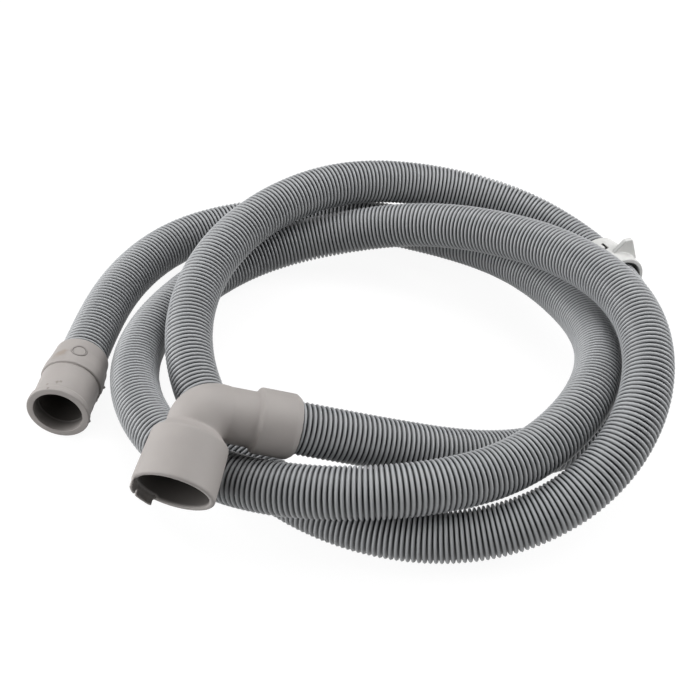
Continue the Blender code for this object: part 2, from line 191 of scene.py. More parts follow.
@dataclass(frozen=True)
class Spot:
    """A stain or speck on a finish, as a soft ball about a point of the piece."""

    centre: tuple[float, float, float]
    reach: float
    colour: tuple[float, float, float]
    strength: float
    ragged: float = 0.5


def opaque(colour: tuple[float, float, float]) -> tuple[float, float, float, float]:
    """Adds full alpha to a colour."""
    return (*colour, 1.0)


def new_finish(name: str) -> tuple[bpy.types.Material, Graph, bpy.types.Node, bpy.types.NodeSocket]:
    """Starts a material.

    Args:
        name: Name of the material.

    Returns:
        The material, its graph, its shader and the object coordinates.
    """
    material = bpy.data.materials.new(name)
    material.use_nodes = True
    graph = Graph(material.node_tree)
    shader = material.node_tree.nodes["Principled BSDF"]
    place = graph.add("ShaderNodeTexCoord").outputs["Object"]
    return material, graph, shader, place


@dataclass(frozen=True)
class MouldedFinish:
    """Moulded rubber or plastic: mottled colour, matte sheen, fine grain, stains where given, and painted
    shade darkening bores, slots and creases.
    """

    name: str
    light: tuple[float, float, float]
    dark: tuple[float, float, float]
    roughness: tuple[float, float] = (0.5, 0.62)
    mottle_scale: float = 70.0
    grain_scale: float = 1900.0
    grain_depth: float = 0.02 * MM
    swell_depth: float = 0.12 * MM
    specular: float = 0.35
    # bore: colour of the painted shade laid inside bores, slots and creases
    bore: tuple[float, float, float] = (0.055, 0.05, 0.046)
    spots: tuple[Spot, ...] = ()

    def build(self) -> bpy.types.Material:
        """Makes the material.

        Returns:
            The finished material.
        """
        material, graph, shader, place = new_finish(self.name)
        broad = graph.noise(place, self.mottle_scale, 4.0)
        fine = graph.noise(place, self.grain_scale, 2.0)
        share = graph.span(broad, 0.32, 0.68, 0.0, 1.0)
        colour = graph.mix(share, opaque(self.dark), opaque(self.light))
        dust = graph.span(fine, 0.62, 0.75, 0.0, 0.12)
        colour = graph.mix(dust, colour, opaque(tuple(1.25 * c for c in self.light)))
        for spot in self.spots:
            colour = self.stained(graph, place, colour, spot)
        # Painted shade: the inside attribute darkens the colour towards the bore colour where shade falls in
        # bores, slots and creases
        inside = graph.add("ShaderNodeAttribute", attribute_name="inside").outputs["Fac"]
        colour = graph.mix(inside, colour, opaque(self.bore))
        graph.tree.links.new(colour, shader.inputs["Base Color"])
        rough = graph.span(graph.noise(place, self.mottle_scale * 4, 3.0), 0.3, 0.7, *self.roughness)
        graph.tree.links.new(rough, shader.inputs["Roughness"])
        shader.inputs["Specular IOR Level"].default_value = self.specular
        swell = graph.add("ShaderNodeBump", {
            "Height": broad, "Strength": 0.35, "Distance": self.swell_depth})
        grain = graph.add("ShaderNodeBump", {
            "Height": fine, "Strength": 0.5, "Distance": self.grain_depth, "Normal": swell.outputs[0]})
        graph.tree.links.new(grain.outputs[0], shader.inputs["Normal"])
        return material

    def stained(
        self, graph: Graph, place: bpy.types.NodeSocket, colour: bpy.types.NodeSocket, spot: Spot,
    ) -> bpy.types.NodeSocket:
        """Lays one spot over the colour.

        Args:
            graph: Graph of the material.
            place: Object coordinates.
            colour: Colour under the spot.
            spot: The spot.

        Returns:
            The colour with the spot.
        """
        apart = graph.add("ShaderNodeVectorMath", {0: place, 1: spot.centre}, operation="DISTANCE")
        away = apart.outputs["Value"]
        ragged = graph.noise(place, 1.1 / spot.reach, 3.0, 0.6)
        edge = graph.math("MULTIPLY_ADD", ragged, spot.reach * spot.ragged * 2, -spot.reach * spot.ragged)
        share = graph.span(graph.math("ADD", away, edge), spot.reach * 0.35, spot.reach, spot.strength, 0.0)
        return graph.mix(share, colour, opaque(spot.colour))


@dataclass(frozen=True)
class RibFinish:
    """Ribbed hose: light rounded crests, painted shade in the grooves and in the bore, slow change of tone
    along the length.
    """

    name: str = "hose_grey_ribs"
    crest: tuple[float, float, float] = (0.44, 0.45, 0.462)
    shade: tuple[float, float, float] = (0.385, 0.394, 0.406)
    # groove: colour of the painted shade in the grooves; bore: colour of the painted shade in the bore
    groove: tuple[float, float, float] = (0.022, 0.024, 0.026)
    bore: tuple[float, float, float] = (0.10, 0.10, 0.10)
    roughness: tuple[float, float] = (0.34, 0.48)

    def build(self) -> bpy.types.Material:
        """Makes the material.

        Returns:
            The finished material.
        """
        material, graph, shader, place = new_finish(self.name)
        depth = graph.add("ShaderNodeAttribute", attribute_name="groove").outputs["Fac"]
        inside = graph.add("ShaderNodeAttribute", attribute_name="bore").outputs["Fac"]
        broad = graph.noise(place, 26.0, 3.0)
        fine = graph.noise(place, 900.0, 3.0)
        body = graph.mix(graph.span(broad, 0.3, 0.7, 0.0, 1.0), opaque(self.shade), opaque(self.crest))
        rubbed = graph.span(fine, 0.55, 0.8, 0.0, 0.16)
        body = graph.mix(rubbed, body, opaque(tuple(1.12 * c for c in self.crest)))
        # Painted shade: darker towards the bottom of each groove, and dark all over the bore
        sunk = graph.span(depth, 0.07, 0.5, 0.0, 1.0)
        colour = graph.mix(sunk, body, opaque(self.groove))
        colour = graph.mix(inside, colour, opaque(self.bore))
        graph.tree.links.new(colour, shader.inputs["Base Color"])
        rough = graph.span(graph.noise(place, 300.0, 3.0), 0.3, 0.7, *self.roughness)
        graph.tree.links.new(rough, shader.inputs["Roughness"])
        shader.inputs["Specular IOR Level"].default_value = 0.4
        bump = graph.add("ShaderNodeBump", {
            "Height": graph.noise(place, 2600.0, 2.0), "Strength": 0.3, "Distance": 0.02 * MM})
        graph.tree.links.new(bump.outputs[0], shader.inputs["Normal"])
        return material


# Shaping


def smooth_curve(points: list[tuple[float, float, float]], count: int) -> np.ndarray:
    """Natural cubic spline through the points, read evenly by length.

    Args:
        points: Points on the line.
        count: Number of points to return.

    Returns:
        Array of points.
    """
    points = np.array(points, dtype=float)
    knots = np.concatenate([[0.0], np.cumsum(np.linalg.norm(np.diff(points, axis=0), axis=1))])
    steps = np.diff(knots)
    size = len(points)
    system = np.eye(size)
    target = np.zeros((size, 3))
    for i in range(1, size - 1):
        system[i, i - 1:i + 2] = steps[i - 1], 2 * (steps[i - 1] + steps[i]), steps[i]
        slopes = (points[i + 1] - points[i]) / steps[i], (points[i] - points[i - 1]) / steps[i - 1]
        target[i] = 6 * (slopes[0] - slopes[1])
    bends = np.linalg.solve(system, target)

    def read(values: np.ndarray) -> np.ndarray:
        """Points of the spline at these knot values.

        Args:
            values: Distances along the straight lines between the chosen points.

        Returns:
            Array of points.
        """
        span = np.clip(np.searchsorted(knots, values) - 1, 0, size - 2)
        after = (values - knots[span])[:, None]
        width = steps[span][:, None]
        before = width - after
        cubic = (bends[span] * before ** 3 + bends[span + 1] * after ** 3) / (6 * width)
        left = (points[span] / width - bends[span] * width / 6) * before
        right = (points[span + 1] / width - bends[span + 1] * width / 6) * after
        return cubic + left + right

    fine = np.linspace(0.0, knots[-1], 40 * size)
    lengths = np.concatenate([[0.0], np.cumsum(np.linalg.norm(np.diff(read(fine), axis=0), axis=1))])
    return read(np.interp(np.linspace(0.0, lengths[-1], count), lengths, fine))


def rounded(corners: list[tuple[float, float, float]], steps: int = 6) -> list[Vector]:
    """Outline with rounded corners.

    Args:
        corners: (x, radius, fillet) of each corner.
        steps: Steps of each fillet.

    Returns:
        Points of the outline.
    """
    outline = []
    size = len(corners)
    for i, (x, r, fillet) in enumerate(corners):
        corner = Vector((x, r))
        before = Vector(corners[i - 1][:2]) - corner
        after = Vector(corners[(i + 1) % size][:2]) - corner
        if fillet <= 0:
            outline.append(corner)
            continue
        half = before.angle(after) / 2
        reach = fillet / math.tan(half)
        start = corner + before.normalized() * reach
        end = corner + after.normalized() * reach
        centre = corner + (before.normalized() + after.normalized()).normalized() * fillet / math.sin(half)
        first = start - centre
        sweep = first.angle_signed(end - centre)
        for k in range(steps + 1):
            outline.append(centre + Matrix.Rotation(-sweep * k / steps, 2) @ first)
    return outline


def frame_at(origin: Vector, direction: Vector, up: Vector = Vector((0, 0, 1))) -> Matrix:
    """Frame whose X axis is the direction and whose Z axis is as near up as it can be.

    Args:
        origin: Origin of the frame.
        direction: Its X axis.
        up: Direction that Z keeps near.

    Returns:
        The frame's matrix.
    """
    x_axis = Vector(direction).normalized()
    y_axis = up.cross(x_axis).normalized()
    z_axis = x_axis.cross(y_axis)
    turn = Matrix((x_axis, y_axis, z_axis)).transposed().to_4x4()
    return Matrix.Translation(origin) @ turn


def turned(outline: list[Vector], sides: int) -> bmesh.types.BMesh:
    """Solid of revolution about X: a ring, or a plug if its ends are on the axis.

    Args:
        outline: (x, radius) points.
        sides: Steps round the axis.

    Returns:
        The solid.
    """
    bm = bmesh.new()
    verts = [bm.verts.new((p.x, 0.0, p.y)) for p in outline]
    plug = outline[0].y < 1e-6 and outline[-1].y < 1e-6
    edges = [bm.edges.new((verts[i - 1], verts[i])) for i in range(1 if plug else 0, len(verts))]
    bmesh.ops.spin(
        bm, geom=verts + edges, cent=(0, 0, 0), axis=(1, 0, 0), dvec=(0, 0, 0),
        angle=math.tau, steps=sides, use_merge=True, use_duplicate=False,
    )
    bmesh.ops.remove_doubles(bm, verts=bm.verts, dist=1e-6)
    return bm


def sector(
    inner: float, outer: float, start: float, end: float, middle: float, spread: float, steps: int = 24,
) -> bmesh.types.BMesh:
    """Solid piece of a ring about X.

    Args:
        inner: Inner radius.
        outer: Outer radius.
        start: First station along X.
        end: Last station along X.
        middle: Angle of its middle.
        spread: Whole angle.
        steps: Steps round the arc.

    Returns:
        The solid.
    """
    bm = bmesh.new()
    rows = []
    for x in (start, end):
        for radius in (inner, outer):
            angles = [middle - spread / 2 + spread * k / steps for k in range(steps + 1)]
            rows.append([bm.verts.new((x, radius * math.cos(a), radius * math.sin(a))) for a in angles])
    near_in, near_out, far_in, far_out = rows
    for k in range(steps):
        bm.faces.new((near_in[k], near_in[k + 1], near_out[k + 1], near_out[k]))
        bm.faces.new((far_in[k], far_out[k], far_out[k + 1], far_in[k + 1]))
        bm.faces.new((near_in[k], far_in[k], far_in[k + 1], near_in[k + 1]))
        bm.faces.new((near_out[k], near_out[k + 1], far_out[k + 1], far_out[k]))
    for k in (0, steps):
        bm.faces.new((near_in[k], near_out[k], far_out[k], far_in[k]))
    return bm


def swept(loops: list[list[Vector]], closed: bool = False) -> bmesh.types.BMesh:
    """Closed tube through loops of points.

    Args:
        loops: Rings of points, all of one size.
        closed: Whether the last ring meets the first.

    Returns:
        The solid.
    """
    bm = bmesh.new()
    rings = [[bm.verts.new(p) for p in loop] for loop in loops]
    pairs = list(zip(rings, rings[1:])) + ([(rings[-1], rings[0])] if closed else [])
    size = len(rings[0])
    for near, far in pairs:
        for k in range(size):
            n = (k + 1) % size
            bm.faces.new((near[k], near[n], far[n], far[k]))
    if not closed:
        bm.faces.new(rings[0])
        bm.faces.new(rings[-1])
    return bm


def round_end(x: float, radius: float, direction: int, steps: int = 12) -> list[tuple[float, float, float]]:
    """Corners of a quarter circle from a cylinder's edge to the axis."""
    turns = [math.pi / 2 * k / steps for k in range(steps + 1)]
    return [(x + direction * radius * math.sin(a), radius * math.cos(a), 0.0) for a in turns[:-1]]


def mesh_piece(name: str, bm: bmesh.types.BMesh, matrix: Matrix | None = None) -> bpy.types.Object:
    """Turns a bmesh into a linked object at the origin, its place in its mesh and its faces outward.

    Args:
        name: Name of the object.
        bm: The shape, which is freed.
        matrix: Where the shape goes.

    Returns:
        The object.
    """
    if matrix is not None:
        bmesh.ops.transform(bm, matrix=matrix, verts=bm.verts)
    bmesh.ops.recalc_face_normals(bm, faces=bm.faces)
    mesh = bpy.data.meshes.new(name)
    bm.to_mesh(mesh)
    bm.free()
    item = bpy.data.objects.new(name, mesh)
    bpy.context.scene.collection.objects.link(item)
    return item


def baked(item: bpy.types.Object, weld: float = 0.0) -> None:
    """Replaces an object's mesh by its evaluated form and drops the modifiers.

    Args:
        item: Object that is changed.
        weld: Distance within which slivers are closed up, or 0.
    """
    graph = bpy.context.evaluated_depsgraph_get()
    mesh = bpy.data.meshes.new_from_object(item.evaluated_get(graph))
    if weld > 0:
        bm = bmesh.new()
        bm.from_mesh(mesh)
        bmesh.ops.remove_doubles(bm, verts=bm.verts, dist=weld)
        bmesh.ops.dissolve_degenerate(bm, edges=bm.edges, dist=weld)
        bm.to_mesh(mesh)
        bm.free()
    item.modifiers.clear()
    item.data = mesh


def worked(item: bpy.types.Object, helpers: list[tuple[bpy.types.Object, Cut]]) -> None:
    """Works the helper solids into the item one after the other and removes them.

    Args:
        item: Object that is changed.
        helpers: Solids and how each is worked in.
    """
    for helper, cut in helpers:
        modifier = item.modifiers.new("cut", "BOOLEAN")
        modifier.operation = cut.value
        modifier.solver = "EXACT"
        modifier.object = helper
        baked(item, WELD)
        bpy.data.objects.remove(helper, do_unlink=True)


def softened(item: bpy.types.Object, voxel: float, rounds: int) -> None:
    """Gives a solid an even skin of small faces and eases its edges, as moulding does.

    Args:
        item: Object that is changed.
        voxel: Size of the skin's faces.
        rounds: Smoothing rounds all over.
    """
    skin = item.modifiers.new("skin", "REMESH")
    skin.mode = "VOXEL"
    skin.voxel_size = voxel
    skin.use_smooth_shade = True
    ease = item.modifiers.new("ease", "SMOOTH")
    ease.factor = 0.5
    ease.iterations = rounds
    baked(item)


def blended(item: bpy.types.Object, centre: Vector, reach: float, rounds: int, low: float = 0.0) -> None:
    """Smooths the skin further near a point, fading out with distance.

    Args:
        item: Object that is changed.
        centre: Middle of the place that is smoothed.
        reach: Distance at which nothing changes.
        rounds: Smoothing rounds.
        low: Distance within which the smoothing is full.
    """
    group = item.vertex_groups.new(name="blend")
    for vert in item.data.vertices:
        away = (vert.co - centre).length
        weight = 1.0 - (away - low) / (reach - low)
        if weight > 0:
            group.add([vert.index], min(weight, 1.0), "REPLACE")
    ease = item.modifiers.new("ease", "SMOOTH")
    ease.factor = 0.5
    ease.iterations = rounds
    ease.vertex_group = "blend"
    baked(item)
    item.vertex_groups.clear()


def local(item: bpy.types.Object, place: Matrix) -> np.ndarray:
    """Places of an object's points in another frame.

    Args:
        item: The object.
        place: The frame.

    Returns:
        Array of points.
    """
    points = np.zeros(len(item.data.vertices) * 3)
    item.data.vertices.foreach_get("co", points)
    turn = np.array(place.inverted())
    return points.reshape(-1, 3) @ turn[:3, :3].T + turn[:3, 3]


def shaded(item: bpy.types.Object, share: np.ndarray) -> None:
    """Keeps for each point its share of painted shade in bores, slots and creases, for the finish to darken.
    """
    layer = item.data.attributes.new("inside", "FLOAT", "POINT")
    layer.data.foreach_set("value", share.astype(float))


def dressed(item: bpy.types.Object, material: bpy.types.Material, node: str) -> bpy.types.Object:
    """Gives a finished piece its material and puts it in the place of its solid.

    Args:
        item: The piece.
        material: Its finish.
        node: Name of the solid that it replaces.

    Returns:
        The piece.
    """
    item.data.materials.clear()
    item.data.materials.append(material)
    item.data.polygons.foreach_set("use_smooth", [True] * len(item.data.polygons))
    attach(item, BODY)
    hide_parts(node)
    LOG.info("%s: %d faces", item.name, len(item.data.polygons))
    return item


# Camera and light


@dataclass(frozen=True)
class Lamp:
    """One soft lamp of the studio."""

    name: str
    power: float
    place: tuple[float, float, float]


@dataclass
class Studio:
    """Camera, plain white floor and soft light."""

    aim: tuple[float, float, float] = (-0.0031361, -0.4309931, 0.4015951)
    tilt: float = math.radians(48.0)
    lens: float = 65.34
    floor_half: float = 6.0
    floor_level: float = -0.0002
    lamp_size: float = 1.0
    lamps: tuple[Lamp, ...] = (
        Lamp("left", 13.6, (-1.2, 0.0, 0.4)),
        Lamp("back", 9.4, (0.0, 0.7, 1.1)),
        Lamp("high_right", 6.5, (0.7, 0.1, 1.0)),
        Lamp("right", 8.0, (1.2, 0.0, 0.4)),
        Lamp("front", 6.2, (-0.85, -0.85, 0.4)),
    )
    fill_level: float = 0.03

    def camera(self) -> None:
        """Places the camera at the photograph's viewing angle."""
        data = bpy.data.cameras.new("view")
        data.lens = self.lens
        data.sensor_width = 36.0
        data.clip_start = 0.01
        item = bpy.data.objects.new("view", data)
        item.location = self.aim
        item.rotation_euler = (self.tilt, 0.0, 0.0)
        bpy.context.scene.collection.objects.link(item)
        bpy.context.scene.camera = item

    def floor(self) -> bpy.types.Object:
        """Makes the floor: seen as white by the camera, with the object's soft shadow kept.

        Returns:
            The floor.
        """
        bm = bmesh.new()
        half = self.floor_half
        corners = [(-half, -half), (half, -half), (half, half), (-half, half)]
        bm.faces.new([bm.verts.new((x, y, self.floor_level)) for x, y in corners])
        item = mesh_piece("floor", bm)
        item.data.materials.append(self.floor_finish())
        return item

    def floor_finish(self) -> bpy.types.Material:
        """Makes the floor's material.

        Returns:
            The material.
        """
        material = bpy.data.materials.new("floor_white")
        material.use_nodes = True
        graph = Graph(material.node_tree)
        graph.tree.nodes.clear()
        path = graph.add("ShaderNodeLightPath")
        plain = graph.add("ShaderNodeBsdfDiffuse", {"Color": (0.3, 0.3, 0.3, 1.0)}).outputs[0]
        faint = graph.add("ShaderNodeBsdfDiffuse", {"Color": (0.14, 0.14, 0.14, 1.0)}).outputs[0]
        glow = graph.add("ShaderNodeEmission", {"Color": (1.0, 1.0, 1.0, 1.0), "Strength": 0.92}).outputs[0]
        seen = graph.add("ShaderNodeAddShader", {0: faint, 1: glow}).outputs[0]
        direct = graph.math("MAXIMUM", path.outputs["Is Camera Ray"], path.outputs["Is Glossy Ray"])
        mixed = graph.add("ShaderNodeMixShader", {0: direct, 1: plain, 2: seen}).outputs[0]
        graph.add("ShaderNodeOutputMaterial", {"Surface": mixed})
        return material

    def softbox(self, lamp: Lamp) -> None:
        """Adds one round soft light aimed at the object.

        Args:
            lamp: The light's name, power and place.
        """
        data = bpy.data.lights.new(lamp.name, "AREA")
        data.shape = "DISK"
        data.size = self.lamp_size
        data.energy = lamp.power
        item = bpy.data.objects.new(lamp.name, data)
        item.location = lamp.place
        item.rotation_euler = (-Vector(lamp.place)).to_track_quat("-Z", "Y").to_euler()
        bpy.context.scene.collection.objects.link(item)

    def light(self) -> None:
        """Adds the soft lights and the even surroundings."""
        for lamp in self.lamps:
            self.softbox(lamp)
        world = bpy.data.worlds.new("surroundings")
        bpy.context.scene.world = world
        world.use_nodes = True
        graph = Graph(world.node_tree)
        graph.tree.nodes.clear()
        path = graph.add("ShaderNodeLightPath")
        even = graph.add("ShaderNodeBackground", {"Color": (1.0, 1.0, 1.0, 1.0), "Strength": self.fill_level})
        white = graph.add("ShaderNodeBackground", {"Color": (1.0, 1.0, 1.0, 1.0), "Strength": 1.0})
        mixed = graph.add("ShaderNodeMixShader", {
            0: path.outputs["Is Camera Ray"], 1: even.outputs[0], 2: white.outputs[0]})
        graph.add("ShaderNodeOutputWorld", {"Surface": mixed.outputs[0]})
        bpy.context.scene.view_settings.view_transform = "Standard"


# Hose


@dataclass
class RibbedHose:
    """The hose: rounded ribs along its centreline, a plain bore and cut ends."""

    outer: float = 21.5 * MM
    bore: float = 17.2 * MM
    pitch: float = 2.06 * MM
    groove: float = 1.7 * MM
    widening: float = 0.09 * MM
    wobble: float = 0.05 * MM
    sides: int = 24
    rings_per_rib: int = 4
    into_elbow: float = 12.5 * MM
    into_cuff: float = 16.0 * MM
    route: np.ndarray = field(init=False)
    elbow_rim: tuple[Vector, Vector] = field(init=False)
    cuff_rim: tuple[Vector, Vector] = field(init=False)
    line: np.ndarray = field(init=False)
    length: float = field(init=False)

    def __post_init__(self) -> None:
        """Works out the centreline with its straight ends inside the cuffs."""
        route = smooth_curve([tuple(np.array(p) * MM + np.array(SETTLE)) for p in ROUTE], 1400)
        first = route[0] - route[1]
        last = route[-1] - route[-2]
        first = first / np.linalg.norm(first)
        last = last / np.linalg.norm(last)
        head = [route[0] + first * self.into_elbow * part for part in (1.0, 0.75, 0.5, 0.25)]
        tail = [route[-1] + last * self.into_cuff * part for part in (0.25, 0.5, 0.75, 1.0)]
        self.route = route
        self.elbow_rim = (Vector(route[0]), Vector(first))
        self.cuff_rim = (Vector(route[-1]), Vector(last))
        self.line = np.vstack([head, route, tail])
        self.length = float(np.linalg.norm(np.diff(self.line, axis=0), axis=1).sum())

    @staticmethod
    def marked(graph: Graph, line: bpy.types.NodeSocket, name: str, value: object) -> bpy.types.NodeSocket:
        """Stores a value on a line's points, for the finish to read.

        Args:
            graph: Graph of the node tree.
            line: Socket of the line.
            name: Name of the attribute.
            value: Number or socket.

        Returns:
            The line's socket with the attribute.
        """
        inputs = {"Geometry": line, "Name": name, "Value": value}
        node = graph.add("GeometryNodeStoreNamedAttribute", inputs, data_type="FLOAT", domain="POINT")
        return node.outputs[0]

    def tree(self) -> tuple[bpy.types.NodeTree, dict[str, str]]:
        """Builds the node tree that ribs a line.

        Returns:
            The tree and the identifiers of its named inputs.
        """
        tree = bpy.data.node_groups.new("ribbed_hose", "GeometryNodeTree")
        face = tree.interface
        face.new_socket("Line", in_out="INPUT", socket_type="NodeSocketGeometry")
        kinds = {
            "Ribs": "NodeSocketInt",
            "Rings per rib": "NodeSocketInt",
            "Sides": "NodeSocketInt",
            "Outer radius": "NodeSocketFloat",
            "Bore radius": "NodeSocketFloat",
            "Groove depth": "NodeSocketFloat",
            "Crest widening": "NodeSocketFloat",
            "Wobble": "NodeSocketFloat",
            "Seed": "NodeSocketInt",
            "Finish": "NodeSocketMaterial",
        }
        names = {name: face.new_socket(name, in_out="INPUT", socket_type=kind).identifier
                 for name, kind in kinds.items()}
        face.new_socket("Hose", in_out="OUTPUT", socket_type="NodeSocketGeometry")
        graph = Graph(tree)
        given = graph.add("NodeGroupInput").outputs
        rings = graph.math("MULTIPLY", given["Ribs"], given["Rings per rib"])
        count = graph.math("ADD", rings, 1.0)
        ribbed = graph.add("GeometryNodeResampleCurve", {"Curve": given["Line"], "Count": count}, mode="COUNT")
        index = graph.add("GeometryNodeInputIndex").outputs[0]
        ring_in_rib = graph.math("MODULO", index, given["Rings per rib"])
        phase = graph.math("MULTIPLY", graph.math("DIVIDE", ring_in_rib, given["Rings per rib"]), math.tau)
        wave = graph.math("COSINE", phase)
        sunk = graph.math("POWER", graph.math("MULTIPLY_ADD", wave, 0.5, 0.5), 2.0)
        rib = graph.math("FLOOR", graph.math("DIVIDE", index, given["Rings per rib"]))
        chance = graph.add("FunctionNodeRandomValue", {"ID": rib, "Seed": given["Seed"]}, data_type="FLOAT")
        shift = graph.math("MULTIPLY", graph.math("SUBTRACT", chance.outputs[1], 0.5), given["Wobble"])
        drop = graph.math("MULTIPLY", sunk, given["Groove depth"])
        radius = graph.math("ADD", graph.math("SUBTRACT", given["Outer radius"], drop), shift)
        # groove: share of the groove's depth, read by the finish for painted shade in the grooves
        marked = self.marked(graph, ribbed.outputs[0], "groove", sunk)
        ring = graph.add("GeometryNodeCurvePrimitiveCircle", {"Resolution": given["Sides"], "Radius": 1.0})
        tangent = graph.add("GeometryNodeInputTangent").outputs[0]
        lean = graph.math("MULTIPLY", graph.math("SINE", phase), given["Crest widening"])
        step = graph.add("ShaderNodeVectorMath", {0: tangent, "Scale": lean}, operation="SCALE").outputs[0]
        widened = graph.add("GeometryNodeSetPosition", {"Geometry": marked, "Offset": step})
        skin = graph.add("GeometryNodeCurveToMesh", {
            "Curve": widened.outputs[0], "Profile Curve": ring.outputs[0], "Scale": radius})
        sparse = graph.math("MULTIPLY", given["Ribs"], 0.25)
        plain = graph.add("GeometryNodeResampleCurve", {"Curve": given["Line"], "Count": sparse}, mode="COUNT")
        # bore: marks the bore lining, read by the finish for painted shade
        lining = self.marked(graph, plain.outputs[0], "bore", 1.0)
        wall = graph.add("GeometryNodeCurveToMesh", {
            "Curve": lining, "Profile Curve": ring.outputs[0], "Scale": given["Bore radius"]})
        inside = graph.add("GeometryNodeFlipFaces", {"Mesh": wall.outputs[0]})
        both = graph.add("GeometryNodeJoinGeometry")
        graph.tree.links.new(skin.outputs[0], both.inputs[0])
        graph.tree.links.new(inside.outputs[0], both.inputs[0])
        smooth = graph.add("GeometryNodeSetShadeSmooth", {"Geometry": both.outputs[0]})
        whole = graph.add("GeometryNodeRealizeInstances", {"Geometry": smooth.outputs[0]})
        finished = graph.add("GeometryNodeSetMaterial", {
            "Geometry": whole.outputs[0], "Material": given["Finish"]})
        graph.add("NodeGroupOutput", {"Hose": finished.outputs[0]})
        return tree, names

    def build(self, material: bpy.types.Material) -> bpy.types.Object:
        """Args:
            material: Finish of the ribs.

        Returns:
            The hose.
        """
        data = bpy.data.curves.new("hose_line", "CURVE")
        data.dimensions = "3D"
        spline = data.splines.new("POLY")
        spline.points.add(len(self.line) - 1)
        for point, place in zip(spline.points, self.line):
            point.co = (*place, 1.0)
        line = bpy.data.objects.new("hose_line", data)
        bpy.context.scene.collection.objects.link(line)
        tree, names = self.tree()
        modifier = line.modifiers.new("ribs", "NODES")
        modifier.node_group = tree
        values = {
            "Ribs": round(self.length / self.pitch), "Rings per rib": self.rings_per_rib, "Sides": self.sides,
            "Outer radius": self.outer / 2, "Bore radius": self.bore / 2, "Groove depth": self.groove,
            "Crest widening": -self.widening, "Wobble": self.wobble, "Seed": 7, "Finish": material,
        }
        for name, value in values.items():
            modifier[names[name]] = value
        graph = bpy.context.evaluated_depsgraph_get()
        mesh = bpy.data.meshes.new_from_object(line.evaluated_get(graph))
        bpy.data.objects.remove(line, do_unlink=True)
        item = bpy.data.objects.new("ribbed_hose", mesh)
        bpy.context.scene.collection.objects.link(item)
        self.close_ends(mesh)
        dressed(item, material, "corrugated_hose")
        LOG.info("hose length %.3f m", self.length)
        return item

    def close_ends(self, mesh: bpy.types.Mesh) -> None:
        """Joins the ribbed skin to the bore at both cut ends.

        Args:
            mesh: Mesh of the hose, changed in place.
        """
        bm = bmesh.new()
        bm.from_mesh(mesh)
        rims = [edge for edge in bm.edges if edge.is_boundary]
        for end in (self.line[0], self.line[-1]):
            place = Vector(end)
            near = [e for e in rims if (e.verts[0].co - place).length < self.outer]
            bmesh.ops.bridge_loops(bm, edges=near)
        bmesh.ops.recalc_face_normals(bm, faces=bm.faces)
        bm.to_mesh(mesh)
        bm.free()


# Straight cuff


